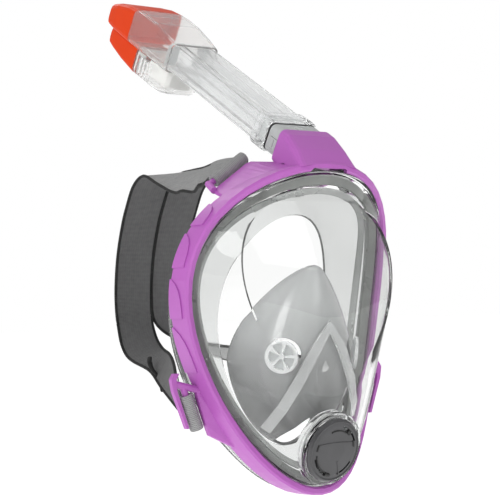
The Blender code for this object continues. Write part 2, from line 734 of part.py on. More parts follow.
def make_cage():
    """The float chamber's clear shell, closed and rounded at its foot, slotted at the back."""
    mat = material("cage_clear", CLEAR, 0.15, True)
    wall = 1.4
    inside = CAGE_HALF_WIDTH - wall
    front = CAGE_FRONT + wall
    outer = [head_loop(CAGE_START, 6.5, CAGE_FRONT, 17.6, 2.0),
             head_loop(CAGE_START + 2.5, 10.5, CAGE_FRONT, 22.5, 3.5),
             head_loop(CAGE_START + 6.5, 13.0, CAGE_FRONT, 27.5),
             head_loop(CAGE_START + 12, 14.8, CAGE_FRONT, 31.8),
             head_loop(CAGE_START + 21, CAGE_HALF_WIDTH, CAGE_FRONT, 34.4),
             head_loop(CAGE_START + 33, CAGE_HALF_WIDTH, CAGE_FRONT, CAGE_BACK),
             head_loop(CAGE_END, CAGE_HALF_WIDTH, CAGE_FRONT, CAGE_BACK)]
    inner = [head_loop(CAGE_END, inside, front, CAGE_BACK - wall, 3.2),
             head_loop(CAGE_START + 33, inside, front, CAGE_BACK - wall, 3.2),
             head_loop(CAGE_START + 21, inside, front, 34.4 - wall, 3.2),
             head_loop(CAGE_START + 12.6, 13.3, front, 30.2, 3.2),
             head_loop(CAGE_START + 8, 11.0, front, 25.0, 3.2)]
    cage = capped_solid("float_cage", outer + inner, mat)
    across, back, up = tube_frame()
    for index in range(5):
        along = 187.0 + index * 4.9
        slot = block("cage_slot_%d" % index, tube_point(0, 27.5, along), (across, back, up),
                     (20.0, 9.5, 1.1), mat)
        boolean(cage, slot, "DIFFERENCE")
    return cage


def make_rear_cap():
    mat = material("rear_cap_orange", ORANGE, 0.4)
    start = CAGE_END + FIT_GAP
    rows = ((start, CAGE_HALF_WIDTH, CAGE_FRONT, CAGE_BACK), (235.0, 15.3, CAGE_FRONT, 33.0),
            (252.0, 14.8, CAGE_FRONT, 30.0), (258.0, 14.2, 13.0, 28.8), (261.0, 12.5, 16.0, 27.4))
    hollow = ((222.0, 13.2, 15.0, 32.6), (start, 13.8, 14.4, 33.6))
    return capped_solid("rear_cap", [head_loop(*row, 3.6) for row in hollow + rows], mat)


FLOAT_START = 163.0
FLOAT_END = 196.0
SEAT_HEIGHT = 209.8


def make_float():
    mat = material("float_white", (0.8, 0.8, 0.78, 1), 0.5)
    rows = ((FLOAT_START, 9.0, 17.0, 27.0), (FLOAT_START + 3, 11.8, 15.2, 29.6),
            (FLOAT_END - 2, 11.8, 15.2, 29.6), (FLOAT_END, 10.0, 16.6, 28.2))
    body = capped_solid("float_body", [head_loop(*row, 2.6) for row in rows], mat)
    pad = tube_prism("float_seal", rounded_rectangle(8.6, 4.4, 2.0, 2, 22.4), FLOAT_END + FIT_GAP,
                     FLOAT_END + 2.6, material("seal_silicone", SILICONE, 0.6))
    anchor = tube_point(0, 22.4, FLOAT_START)
    set_origin(body, anchor)
    set_origin(pad, anchor)


def make_inlet_seat():
    """The plate at the head of the float chamber whose hole the float's pad closes."""
    mat = material("seat_grey", CLEAR, 0.4)
    middle = (CAGE_FRONT + CAGE_BACK) / 2
    half_y = (CAGE_BACK - CAGE_FRONT) / 2 - 1.7
    outer = rounded_rectangle(CAGE_HALF_WIDTH - 1.7, half_y, 2.8, 3, middle)
    hole = rounded_rectangle(6.4, 2.7, 2.0, 3, 22.4)
    low = SEAT_HEIGHT
    high = SEAT_HEIGHT + 1.6
    ring_solid("inlet_seat", [tube_loop(outer, low), tube_loop(outer, high), tube_loop(hole, high),
                              tube_loop(hole, low)], mat)


def make_exhale_flaps():
    """One-way flaps resting on the ends of the two side channels."""
    mat = material("exhale_flap", SILICONE, 0.5)
    for side, label in ((1, "left"), (-1, "right")):
        section = [(x + side * 14.0, y) for x, y in rounded_rectangle(5.4, 8.2, 2.0, 2)]
        flap = tube_prism("exhale_flap_" + label, section, TUBE_END + FIT_GAP, TUBE_END + 1.3, mat)
        set_origin(flap, tube_point(side * 14.0, -8.2, TUBE_END + 0.8))


# ---------------------------------------------------------------- straps

def smooth_route(points, steps):
    """Catmull-Rom curve through a list of vectors."""
    route = []
    last = len(points) - 1
    for i in range(last):
        before = points[max(i - 1, 0)]
        start = points[i]
        end = points[i + 1]
        after = points[min(i + 2, last)]
        for step in range(steps):
            u = step / steps
            route.append(0.5 * (2 * start + (end - before) * u
                                + (2 * before - 5 * start + 4 * end - after) * u ** 2
                                + (3 * start - before - 3 * end + after) * u ** 3))
    route.append(points[last])
    return route


STRAP_STATIONS = (
    # centre x, y, z, width direction x, y, z, half width, for the wearer's right
    (-46.5, 36.2, 117.0, 0.845, 0.00, 0.535, 16.5),
    (-41.5, 60.0, 116.0, 0.74, 0.13, 0.66, 15.5),
    (-33.5, 95.0, 115.5, 0.76, -0.10, 0.60, 15.7),
    (-24.8, 128.0, 121.0, 0.92, -0.10, 0.34, 16.0),
    (-18.0, 156.0, 125.5, 1.00, -0.05, 0.06, 16.6),
    (-17.5, 172.0, 118.0, 1.00, 0.00, 0.00, 17.0),
    (-17.5, 183.0, 102.0, 1.00, 0.00, 0.00, 17.0),
    (-17.5, 191.0, 86.0, 1.00, 0.00, 0.00, 17.0),
    (-17.5, 199.5, 60.0, 1.00, 0.00, 0.00, 17.0),
    (-17.5, 203.5, 30.0, 1.00, 0.00, 0.00, 17.0),
    (-18.2, 200.5, 6.0, 0.99, 0.00, 0.10, 16.6),
    (-24.5, 182.0, -12.0, 0.92, -0.10, 0.37, 15.2),
    (-40.0, 138.0, -21.0, 0.72, 0.35, 0.60, 13.4),
    (-57.0, 99.0, -30.0, 0.35, 0.00, 0.94, 12.5),
    (-71.0, 66.0, -42.0, -0.05, 0.05, 1.00, 13.5),
    (-79.0, 51.0, -48.0, -0.25, 0.00, 0.97, 14.5),
    (-83.0, 40.2, -52.0, -0.355, 0.00, 0.935, 15.0),
)
STRAP_HALF_THICKNESS = 0.9
STRAP_COLUMNS = 4            # quads across the width, so that a twist stays even


def make_straps():
    for side, label in ((1, "left"), (-1, "right")):
        centres = smooth_route([vec(-side * s[0], s[1], s[2]) for s in STRAP_STATIONS], 3)
        widths = smooth_route([Vector((-side * s[3], s[4], s[5])).normalized() * s[6] * MM
                               for s in STRAP_STATIONS], 3)
        loops = []
        for i, centre in enumerate(centres):
            ahead = centres[min(i + 1, len(centres) - 1)]
            behind = centres[max(i - 1, 0)]
            across = widths[i]
            thick = (ahead - behind).cross(across).normalized() * STRAP_HALF_THICKNESS * MM
            reach = [across * (2 * j / STRAP_COLUMNS - 1) for j in range(STRAP_COLUMNS + 1)]
            near = [centre + shift - thick for shift in reach]
            far = [centre + shift + thick for shift in reach]
            loops.append(near + far[::-1])
        capped_solid("strap_" + label, loops, material("strap_grey", STRAP_GREY, 0.9))


def make_strap_seam():
    """The bound seam between the two bands at the back of the head."""
    stations = ((172.0, 118.0), (183.0, 102.0), (191.0, 86.0), (199.5, 60.0), (203.5, 30.0))
    loops = []
    for y, z in stations:
        loops.append([vec(-0.2, y - 1.3, z), vec(0.2, y - 1.3, z), vec(0.2, y + 1.3, z),
                      vec(-0.2, y + 1.3, z)])
    capped_solid("strap_seam", loops, material("binding_black", BLACK, 0.9))


def make_strap_loops():
    """Strap ends rolled round the hook pins."""
    mat = material("loop_grey", LOOP_GREY, 0.9)
    for side, label in ((1, "left"), (-1, "right")):
        for level, pin, start, end in (("upper", UPPER_PIN, 5.0, 38.0), ("lower", LOWER_PIN, 7.0, 33.0)):
            foot = vec(-side * pin[0][0], pin[0][1], pin[0][2])
            top = vec(-side * pin[1][0], pin[1][1], pin[1][2])
            axis = (top - foot).normalized()
            across = axis.cross(Vector((0, 1, 0))).normalized()
            bore = PIN_RADIUS + FIT_GAP
            profile = ((LOOP_RADIUS, start), (LOOP_RADIUS, end), (bore, end), (bore, start))
            turned_ring("strap_loop_%s_%s" % (level, label), foot, (across, axis.cross(across), axis),
                        profile, 18, mat)


# ---------------------------------------------------------------- assembly

def clear_scene():
    for obj in list(bpy.data.objects):
        bpy.data.objects.remove(obj)


def main():
    clear_scene()
    make_frame()
    make_lens()
    make_skirt()
    make_pocket()
    make_inhale_valves()
    make_retainer()
    make_chin_valve()
    make_connector()
    make_gasket()
    make_latches()
    make_collar()
    make_tube()
    make_head()
    make_top_cap()
    make_cage()
    make_rear_cap()
    make_float()
    make_inlet_seat()
    make_exhale_flaps()
    make_straps()
    make_strap_seam()
    make_strap_loops()


main()
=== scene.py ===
"""Looks of the full face snorkel mask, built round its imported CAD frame.

Metres, +Z up, the mask looks along -Y and +X is the wearer's left, as in the frame.
Sizes are written in millimetres, as in the CAD source, and are scaled once, in vec().
"""
from math import cos, pi, radians, sin, sqrt

import bmesh
import bpy
from mathutils import Matrix, Vector


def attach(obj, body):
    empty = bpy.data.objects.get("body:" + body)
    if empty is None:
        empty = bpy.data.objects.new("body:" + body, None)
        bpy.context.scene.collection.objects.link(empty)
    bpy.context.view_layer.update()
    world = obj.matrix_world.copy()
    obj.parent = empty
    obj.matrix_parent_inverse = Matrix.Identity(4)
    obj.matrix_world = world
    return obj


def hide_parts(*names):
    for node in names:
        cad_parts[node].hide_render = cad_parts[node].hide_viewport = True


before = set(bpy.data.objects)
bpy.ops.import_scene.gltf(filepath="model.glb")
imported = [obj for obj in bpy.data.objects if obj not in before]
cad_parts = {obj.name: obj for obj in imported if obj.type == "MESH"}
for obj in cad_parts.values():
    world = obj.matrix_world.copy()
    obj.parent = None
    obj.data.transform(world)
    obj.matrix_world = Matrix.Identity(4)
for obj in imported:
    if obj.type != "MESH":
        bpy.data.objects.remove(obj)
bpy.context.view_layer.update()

MM = 0.001
SETBACK = 43.0              # the face seal's plane behind the frame's reference plane

# the CAD's own driving sizes, repeated
RING = dict(half_width=87.2, half_height=112.0, egg=0.29, square=-0.05, wrap=24.4, lean=-9.5, bow=-15.7)
BAND_DEPTH = 18.8
PANE = dict(half_width=68.2, half_height=73.7, centre_z=28.2, egg=0.24, y=-18.2, lean=0.079, bulge=11.0)
LENS_WALL = 2.2
VALVE_CENTRE = (0.0, -21.5, -85.2)
VALVE_TILT = 16.3
VALVE_RADIUS = 23.2
PORT_RADIUS = 26.8
TUBE_LEAN = 57.7
SOCKET_RIM = (0.0, 2.2, 132.3)
UPPER_PIN = ((-63.0, 30.0, 105.5), (-31.0, 30.0, 126.0))
LOWER_PIN = ((-88.5, 34.0, -36.5), (-77.0, 34.0, -67.5))


# ---------------------------------------------------------------- camera

def make_camera():
    """The viewing angle: to the wearer's right of the front, a little below the level."""
    turn, rise, roll, distance = radians(37.5), radians(-2.44), radians(-1.85), 1.05326
    right = Vector((cos(turn), -sin(turn), 0))
    back = Vector((-sin(turn) * cos(rise), -cos(turn) * cos(rise), sin(rise)))
    up = back.cross(right)
    target = right * -0.04046 + up * 0.0585 - Vector((0, SETBACK * MM, 0))
    rolled_right = right * cos(roll) + up * sin(roll)
    rolled_up = up * cos(roll) - right * sin(roll)
    data = bpy.data.cameras.new("camera")
    data.lens = 105.33
    data.sensor_width = 36.0
    data.clip_start = 0.01
    camera = bpy.data.objects.new("camera", data)
    bpy.context.scene.collection.objects.link(camera)
    columns = Matrix((rolled_right, rolled_up, back)).transposed().to_4x4()
    camera.matrix_world = Matrix.Translation(target + back * distance) @ columns
    bpy.context.scene.camera = camera


make_camera()


# ---------------------------------------------------------------- mesh helpers

def vec(x, y, z):
    return Vector((x * MM, (y - SETBACK) * MM, z * MM))


def angles(count):
    return [2 * pi * i / count for i in range(count)]


def object_from(name, verts, faces, mat, sharp=35.0):
    mesh = bpy.data.meshes.new(name)
    mesh.from_pydata([tuple(v) for v in verts], [], faces)
    build = bmesh.new()
    build.from_mesh(mesh)
    bmesh.ops.recalc_face_normals(build, faces=build.faces)
    build.to_mesh(mesh)
    build.free()
    mesh.shade_smooth()
    mesh.set_sharp_from_angle(angle=radians(sharp))
    mesh.materials.append(mat)
    obj = bpy.data.objects.new(name, mesh)
    bpy.context.scene.collection.objects.link(obj)
    return obj


def loft(name, loops, mat, closed=True, capped=False, sharp=35.0):
    """A skin over successive loops: closed joins the last loop to the first."""
    count = len(loops[0])
    rows = len(loops)
    verts = [p for loop in loops for p in loop]
    faces = []
    for row in range(rows if closed else rows - 1):
        low, high = row * count, ((row + 1) % rows) * count
        faces += [(low + i, low + (i + 1) % count, high + (i + 1) % count, high + i) for i in range(count)]
    if capped:
        faces += [tuple(range(count)), tuple(range((rows - 1) * count, rows * count))]
    return object_from(name, verts, faces, mat, sharp)


def tube_along(name, points, radius, mat, sides=8, flat=1.0, closed=False):
    """A cord-like piece along points, flat squeezes its section."""
    loops = []
    last = len(points) - 1
    for i, point in enumerate(points):
        ahead = points[(i + 1) % len(points)] if closed else points[min(i + 1, last)]
        behind = points[i - 1] if closed else points[max(i - 1, 0)]
        along = (ahead - behind).normalized()
        side = along.cross(Vector((0, 0.3, 1))).normalized()
        up = side.cross(along)
        loops.append([point + (side * cos(a) + up * sin(a) * flat) * radius for a in angles(sides)])
    return loft(name, loops, mat, closed=closed, capped=not closed, sharp=60)


def boolean(obj, other, operation):
    mod = obj.modifiers.new(operation, "BOOLEAN")
    mod.operation = operation
    mod.object = other
    mod.solver = "EXACT"
    bpy.context.view_layer.update()
    mesh = bpy.data.meshes.new_from_object(obj.evaluated_get(bpy.context.evaluated_depsgraph_get()))
    obj.modifiers.clear()
    obj.data = mesh
    bpy.data.objects.remove(other)


# ---------------------------------------------------------------- materials

class Look:
    """A procedural material: a Principled shader with colour, gloss and relief from nodes."""

    def __init__(self, name, colour, rough, metallic=0.0, **inputs):
        self.mat = bpy.data.materials.new(name)
        self.mat.use_nodes = True
        self.tree = self.mat.node_tree
        self.shader = self.tree.nodes["Principled BSDF"]
        self.shader.inputs["Base Color"].default_value = (*colour, 1)
        self.shader.inputs["Roughness"].default_value = rough
        self.shader.inputs["Metallic"].default_value = metallic
        for key, value in inputs.items():
            self.shader.inputs[key.replace("_", " ")].default_value = value
        self.colour = colour
        self.rough = rough
        self.height = None

    def node(self, kind, **values):
        node = self.tree.nodes.new(kind)
        for key, value in values.items():
            if key in node.inputs:
                node.inputs[key].default_value = value
            else:
                setattr(node, key, value)
        return node

    def link(self, source, target):
        self.tree.links.new(source, target)

    def coordinates(self, kind="Object", scale=(1, 1, 1)):
        base = self.node("ShaderNodeTexCoord")
        mapping = self.node("ShaderNodeMapping")
        mapping.inputs["Scale"].default_value = scale
        self.link(base.outputs[kind], mapping.inputs["Vector"])
        return mapping.outputs["Vector"]

    def noise(self, scale, detail=3.0, kind="Object", stretch=(1, 1, 1)):
        texture = self.node("ShaderNodeTexNoise", Scale=scale, Detail=detail)
        self.link(self.coordinates(kind, stretch), texture.inputs["Vector"])
        return texture.outputs["Fac"]

    def blotches(self, scale, dark=0.9, light=1.08):
        """Slow colour variation round the base colour."""
        ramp = self.node("ShaderNodeValToRGB")
        ramp.color_ramp.elements[0].position = 0.3
        ramp.color_ramp.elements[1].position = 0.7
        ramp.color_ramp.elements[0].color = (*[min(1, c * dark) for c in self.colour], 1)
        ramp.color_ramp.elements[1].color = (*[min(1, c * light) for c in self.colour], 1)
        self.link(self.noise(scale), ramp.inputs["Fac"])
        self.link(ramp.outputs["Color"], self.shader.inputs["Base Color"])
        return self

    def fade(self, axis, start, end, dark, light):
        """Painted shade: the colour runs dark at one end of the piece and light at the other, for how light
        falls across it.
        """
        split = self.node("ShaderNodeSeparateXYZ")
        self.link(self.coordinates(), split.inputs["Vector"])
        place = self.node("ShaderNodeMapRange", interpolation_type="SMOOTHSTEP")
        for key, value in (("From Min", start), ("From Max", end), ("To Min", 0.0), ("To Max", 1.0)):
            place.inputs[key].default_value = value
        self.link(split.outputs[axis], place.inputs["Value"])
        wander = self.node("ShaderNodeMath", operation="ADD")
        self.link(place.outputs["Result"], wander.inputs[0])
        drift = self.node("ShaderNodeMapRange")
        drift.inputs["To Min"].default_value = -0.16
        drift.inputs["To Max"].default_value = 0.16
        self.link(self.noise(26.0), drift.inputs["Value"])
        self.link(drift.outputs["Result"], wander.inputs[1])
        ramp = self.node("ShaderNodeValToRGB")
        ramp.color_ramp.elements[0].color = (*[c * dark for c in self.colour], 1)
        ramp.color_ramp.elements[1].color = (*[min(1, c * light) for c in self.colour], 1)
        self.link(wander.outputs[0], ramp.inputs["Fac"])
        self.link(ramp.outputs["Color"], self.shader.inputs["Base Color"])
        return self

    def gloss(self, scale, low, high):
        """Roughness that wanders between two values, as handling leaves it."""
        spread = self.node("ShaderNodeMapRange")
        spread.inputs["From Min"].default_value = 0.3
        spread.inputs["From Max"].default_value = 0.7
        spread.inputs["To Min"].default_value = low
        spread.inputs["To Max"].default_value = high
        self.link(self.noise(scale, 4.0), spread.inputs["Value"])
        self.link(spread.outputs["Result"], self.shader.inputs["Roughness"])
        return self

    def relief(self, source, strength, distance=0.0003):
        bump = self.node("ShaderNodeBump", Strength=strength, Distance=distance)
        self.link(source, bump.inputs["Height"])
        if self.height:
            self.link(self.height, bump.inputs["Normal"])
        self.height = bump.outputs["Normal"]
        self.link(self.height, self.shader.inputs["Normal"])
        return self

    def grain(self, scale, strength, distance=0.0002, stretch=(1, 1, 1)):
        return self.relief(self.noise(scale, 4.0, "Object", stretch), strength, distance)

    def clear_to_lamps(self, share):
        """Lets lamps reach what lies behind the clear wall."""
        path = self.node("ShaderNodeLightPath")
        level = self.node("ShaderNodeMath", operation="MULTIPLY")
        level.inputs[1].default_value = share
        through = self.node("ShaderNodeBsdfTransparent")
        mix = self.node("ShaderNodeMixShader")
        self.link(path.outputs["Is Shadow Ray"], level.inputs[0])
        self.link(level.outputs[0], mix.inputs[0])
        self.link(self.shader.outputs[0], mix.inputs[1])
        self.link(through.outputs[0], mix.inputs[2])
        output = next(n for n in self.tree.nodes if n.type == "OUTPUT_MATERIAL")
        self.link(mix.outputs[0], output.inputs["Surface"])
        return self

    def ribs(self, along, across, strength, distance, groove_shade=0.75):
        """Woven webbing: fine ribs across the band and rows of warp along it, from its UVs in metres, with
        painted shade in the grooves and painted light on the crests.
        """
        uv = self.coordinates("UV")
        heights = []
        for direction, pitch in (("X", along), ("Y", across)):
            wave = self.node("ShaderNodeTexWave", Scale=2 * pi / pitch / 20, Distortion=0.0,
                             bands_direction=direction)
            self.link(uv, wave.inputs["Vector"])
            heights.append(wave.outputs["Fac"])
        weave = self.node("ShaderNodeMath", operation="MULTIPLY")
        self.link(heights[0], weave.inputs[0])
        self.link(heights[1], weave.inputs[1])
        total = self.node("ShaderNodeMath", operation="ADD")
        self.link(weave.outputs[0], total.inputs[0])
        self.link(heights[0], total.inputs[1])
        # painted shade and light: the colour darkens in the weave's grooves and lightens on its crests
        ramp = self.node("ShaderNodeValToRGB")
        ramp.color_ramp.elements[0].color = (*[c * groove_shade for c in self.colour], 1)
        ramp.color_ramp.elements[1].color = (*[min(1, c * 1.15) for c in self.colour], 1)
        ramp.color_ramp.elements[1].position = 1.0
        self.link(total.outputs[0], ramp.inputs["Fac"])
        tint = self.node("ShaderNodeMix", data_type="RGBA", blend_type="MULTIPLY")
        tint.inputs["Factor"].default_value = 0.35
        self.link(ramp.outputs["Color"], tint.inputs[6])
        self.link(self.noise(260.0, 4.0), tint.inputs[7])
        self.link(tint.outputs[2], self.shader.inputs["Base Color"])
        return self.relief(total.outputs[0], strength, distance)


def make_looks():
    looks = {}
    looks["purple"] = (Look("frame_plastic", (0.445, 0.115, 0.468), 0.42,
                            Coat_Weight=0.08, Coat_Roughness=0.35)
                       .blotches(18, 0.95, 1.05).gloss(70, 0.36, 0.5).grain(2600, 0.12, 0.0001).mat)
    looks["lens"] = (Look("lens_polycarbonate", (0.97, 0.975, 0.97), 0.0, Transmission_Weight=1.0, IOR=1.38)
                     .gloss(40, 0.0, 0.02).clear_to_lamps(0.85).mat)
    looks["tube"] = (Look("tube_plastic", (0.865, 0.87, 0.87), 0.1, Transmission_Weight=0.88, IOR=1.16)
                     .blotches(30, 0.97, 1.02).gloss(50, 0.06, 0.16).grain(60, 0.05, 0.0006, (1, 0.3, 0.3))
                     .clear_to_lamps(0.8).mat)
    looks["collar"] = (Look("collar_plastic", (0.90, 0.905, 0.905), 0.08, Transmission_Weight=0.92, IOR=1.2)
                       .gloss(50, 0.04, 0.14).clear_to_lamps(0.8).mat)
    looks["head"] = (Look("head_plastic", (0.90, 0.90, 0.895), 0.1, Transmission_Weight=0.93, IOR=1.2)
                     .gloss(60, 0.05, 0.18).grain(70, 0.06, 0.0005).clear_to_lamps(0.75).mat)
    looks["valve"] = (Look("valve_plastic", (0.95, 0.96, 0.96), 0.08, Transmission_Weight=0.55, IOR=1.45)
                      .gloss(120, 0.04, 0.16).clear_to_lamps(0.6).mat)
    looks["retainer"] = (Look("retainer_plastic", (0.86, 0.87, 0.87), 0.08, Transmission_Weight=0.72, IOR=1.4)
                         .gloss(90, 0.04, 0.16).grain(300, 0.05).clear_to_lamps(0.6).mat)
    looks["connector"] = (Look("connector_plastic", (0.62, 0.64, 0.635), 0.2,
                               Transmission_Weight=0.35, IOR=1.45)
                          .gloss(90, 0.14, 0.3).grain(900, 0.1).clear_to_lamps(0.5).mat)
    looks["silicone"] = (Look("skirt_silicone", (0.775, 0.785, 0.78), 0.12,
                              Transmission_Weight=0.95, IOR=1.24)
                         .blotches(14, 0.96, 1.03).gloss(30, 0.07, 0.2).clear_to_lamps(0.7).mat)
    # the flange ring is real; its dark grey colour is painted shade for the gap inside the lens's lip
    looks["flange"] = (Look("flange_silicone_painted_shade", (0.23, 0.24, 0.23), 0.3, Transmission_Weight=0.15, IOR=1.4)
                       .blotches(22, 0.7, 1.35).gloss(40, 0.22, 0.4).mat)
    # painted shade: the pocket's colour darkens towards the chin and lightens towards the nose
    looks["pocket"] = (Look("pocket_silicone", (0.46, 0.47, 0.47), 0.18, Transmission_Weight=0.42, IOR=1.41,
                            Coat_Weight=0.3, Coat_Roughness=0.12)
                       .fade("Z", -0.075, 0.025, 0.42, 1.25).gloss(16, 0.12, 0.26).clear_to_lamps(0.35).mat)
    looks["skirt_rib"] = (Look("skirt_rib_silicone", (0.50, 0.515, 0.505), 0.2,
                               Transmission_Weight=0.5, IOR=1.35)
                          .blotches(20, 0.85, 1.15).gloss(40, 0.14, 0.3).mat)
    looks["flap"] = (Look("flap_silicone", (0.62, 0.64, 0.64), 0.4, Transmission_Weight=0.3, IOR=1.41)
                     .blotches(60, 0.93, 1.05).gloss(120, 0.3, 0.45).mat)
    looks["gasket"] = (Look("gasket_rubber", (0.018, 0.018, 0.018), 0.55)
                       .blotches(90, 0.8, 1.3).grain(2500, 0.2).mat)
    looks["orange"] = (Look("cap_plastic", (0.66, 0.042, 0.0), 0.5, Specular_IOR_Level=0.25)
                       .blotches(24, 0.95, 1.05).gloss(70, 0.4, 0.54).grain(2600, 0.1, 0.0001).mat)
    looks["cover"] = (Look("cover_plastic", (0.058, 0.058, 0.061), 0.38, Coat_Weight=0.1, Coat_Roughness=0.3)
                      .blotches(60, 0.85, 1.15).gloss(120, 0.32, 0.48).grain(2600, 0.25, 0.0001).mat)
    looks["float"] = (Look("float_foam", (0.8, 0.8, 0.78), 0.6).blotches(90, 0.95, 1.03).grain(900, 0.3).mat)
    looks["strap"] = Look("strap_webbing", (0.165, 0.165, 0.166), 0.9).ribs(0.0011, 0.0022, 0.55, 0.0003).mat
    looks["strap_back"] = (Look("strap_outer", (0.36, 0.362, 0.362), 0.9)
                           .ribs(0.0011, 0.0022, 0.5, 0.0003, 0.8).mat)
    looks["loop"] = Look("loop_webbing", (0.36, 0.362, 0.362), 0.9).ribs(0.0013, 0.004, 0.6, 0.00035, 0.7).mat
    looks["binding"] = (Look("binding_tape", (0.012, 0.012, 0.012), 0.8)
                        .blotches(300, 0.6, 1.6).grain(3000, 0.5).mat)
    looks["floor"] = Look("floor", (0.92, 0.92, 0.92), 0.9, Emission_Color=(1, 1, 1, 1),
                          Emission_Strength=0.56).blotches(3, 0.995, 1.0).mat
    return looks


LOOKS = make_looks()
CAD_LOOKS = {
    "frame_bezel": "purple", "visor_lens": "lens", "pocket_retainer": "retainer",
    "inhale_seat_left": "valve", "inhale_seat_right": "valve", "chin_valve_seat": "valve",
    "snorkel_connector": "connector", "latch_left": "connector", "latch_right": "connector",
    "connector_gasket": "gasket", "strap_seam": "binding", "snorkel_tube": "tube", "tube_collar": "collar",
    "dry_top_housing": "head", "float_cage": "head", "top_cap": "orange", "rear_cap": "orange",
    "inlet_seat": "float", "float_body": "float", "float_seal": "flap", "exhale_flap_left": "flap",
    "exhale_flap_right": "flap", "chin_valve_cover": "cover", "chin_valve_membrane": "flap",
    "inhale_flap_left": "flap", "inhale_flap_right": "flap",
}


def dress_cad():
    for node, look in CAD_LOOKS.items():
        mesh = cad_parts[node].data
        mesh.materials.clear()
        mesh.materials.append(LOOKS[look])
        mesh.set_sharp_from_angle(angle=radians(35))


# ---------------------------------------------------------------- outlines, as in the CAD

def ring_point(t, out=0.0, back=0.0):
    def flat(angle):
        widen = 1 + RING["egg"] * sin(angle) + RING["square"] * cos(2 * angle)
        return RING["half_width"] * cos(angle) * widen, RING["half_height"] * sin(angle)
    x, z = flat(t)
    ahead, behind = flat(t + 0.01), flat(t - 0.01)
    normal = Vector((ahead[1] - behind[1], behind[0] - ahead[0])).normalized()
    y = RING["wrap"] * (x / RING["half_width"]) ** 2 + RING["lean"] * z / 100 + RING["bow"] * (z / 100) ** 2
    return vec(x + out * normal.x, y + back, z + out * normal.y)


def ring_loop(out, back, steps):
    return [ring_point(t, out, back) for t in angles(steps)]


def pane_point(t, scale=1.0, bulge=0.0):
    x = PANE["half_width"] * cos(t) * (1 + PANE["egg"] * sin(t)) * scale
    z = PANE["centre_z"] + PANE["half_height"] * sin(t) * scale
    return vec(x, PANE["y"] + PANE["lean"] * z - bulge * (1 - scale ** 2), z)


def face_loop(half_width, top, bottom, egg, y_side, y_top, y_bottom, steps):
    loop = []
    for t in angles(steps):
        z = (top if sin(t) > 0 else bottom) * sin(t)
        y_end = y_top if sin(t) > 0 else y_bottom
        y = y_side * cos(t) ** 2 + y_end * sin(t) ** 2
        loop.append(vec(half_width * cos(t) * (1 + egg * sin(t)), y, z))
    return loop


def tube_point(x, depth, along):
    lean = radians(TUBE_LEAN)
    back, up = Vector((0, cos(lean), -sin(lean))), Vector((0, sin(lean), cos(lean)))
    return vec(*SOCKET_RIM) + (Vector((x, 0, 0)) + back * depth + up * along) * MM


def valve_axes():
    tilt = radians(VALVE_TILT)
    return Vector((1, 0, 0)), Vector((0, -sin(tilt), cos(tilt))), Vector((0, -cos(tilt), -sin(tilt)))


def turned(name, origin, axes, profile, steps, mat, closed=False, sharp=35.0):
    side, up, axis = axes
    loops = [[origin + (side * cos(a) * radius + up * sin(a) * radius + axis * height) * MM
              for a in angles(steps)] for radius, height in profile]
    return loft(name, loops, mat, closed=closed, capped=not closed, sharp=sharp)


# ---------------------------------------------------------------- lens

LENS_STEPS = 168
LIP_INSET = 0.6             # how far inside the ring the lens's lip stands
LIP_DEPTH = 3.9             # where the lip meets the clamping flange
FLANGE_OUT = 2.7            # how far the clamping flange reaches under the frame
FLANGE_BACK = 6.0
WALL_PARTS = (0.1, 0.2, 0.35, 0.5, 0.65, 0.8, 0.92)
PANE_SCALES = (1.0, 0.985, 0.96, 0.9, 0.82, 0.72, 0.62, 0.52, 0.42, 0.32, 0.22, 0.12, 0.05)


def lens_outer_loops(inset):
    lip = ring_loop(-LIP_INSET - inset, LIP_DEPTH + inset, LENS_STEPS)
    neck = ring_loop(-LIP_INSET - inset, 0.4 + inset, LENS_STEPS)
    loops = [lip, neck]
    for part in WALL_PARTS:
        loop = []
        for i, t in enumerate(angles(LENS_STEPS)):
            chin = max(0.0, -sin(t)) ** 2
            edge = pane_point(t) + Vector((0, inset * MM, 0))
            edge.x -= inset * MM * cos(t)
            edge.z -= inset * MM * sin(t)
            outwards = Vector((cos(t), -0.35 - 1.2 * chin, sin(t))).normalized()
            swell = 4 * part * (1 - part) * (1.0 + 8.0 * chin)
            loop.append(neck[i].lerp(edge, part) + outwards * swell * MM)
        loops.append(loop)
    deeper = Vector((0, inset * MM, 0))
    for scale in PANE_SCALES:
        shrunk = scale - inset / PANE["half_width"] * scale
        loops.append([pane_point(t, shrunk, PANE["bulge"]) + deeper for t in angles(LENS_STEPS)])
    return loops


def make_lens():
    mat = LOOKS["lens"]
    outer = lens_outer_loops(0.0)
    inner = lens_outer_loops(LENS_WALL)
    flange = [ring_loop(FLANGE_OUT, LIP_DEPTH, LENS_STEPS), ring_loop(FLANGE_OUT, FLANGE_BACK, LENS_STEPS),
              ring_loop(-LIP_INSET - LENS_WALL, FLANGE_BACK, LENS_STEPS)]
    lens = loft("lens_shell", outer[::-1] + flange + inner[1:], mat, closed=False, capped=True, sharp=28)
    centre = vec(*VALVE_CENTRE)
    port = turned("port", centre, valve_axes(),
                  ((PORT_RADIUS, -9.0), (PORT_RADIUS, -0.8), (PORT_RADIUS - 0.8, 0.0)), 72, mat)
    boolean(lens, port, "UNION")
    bore = turned("bore", centre, valve_axes(),
                  ((VALVE_RADIUS + 0.5, -30.0), (VALVE_RADIUS + 0.5, 12.0)), 72, mat)
    boolean(lens, bore, "DIFFERENCE")
    lens.data.shade_smooth()
    lens.data.set_sharp_from_angle(angle=radians(28))
    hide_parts("visor_lens")
    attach(lens, "mask")


# ---------------------------------------------------------------- silicone

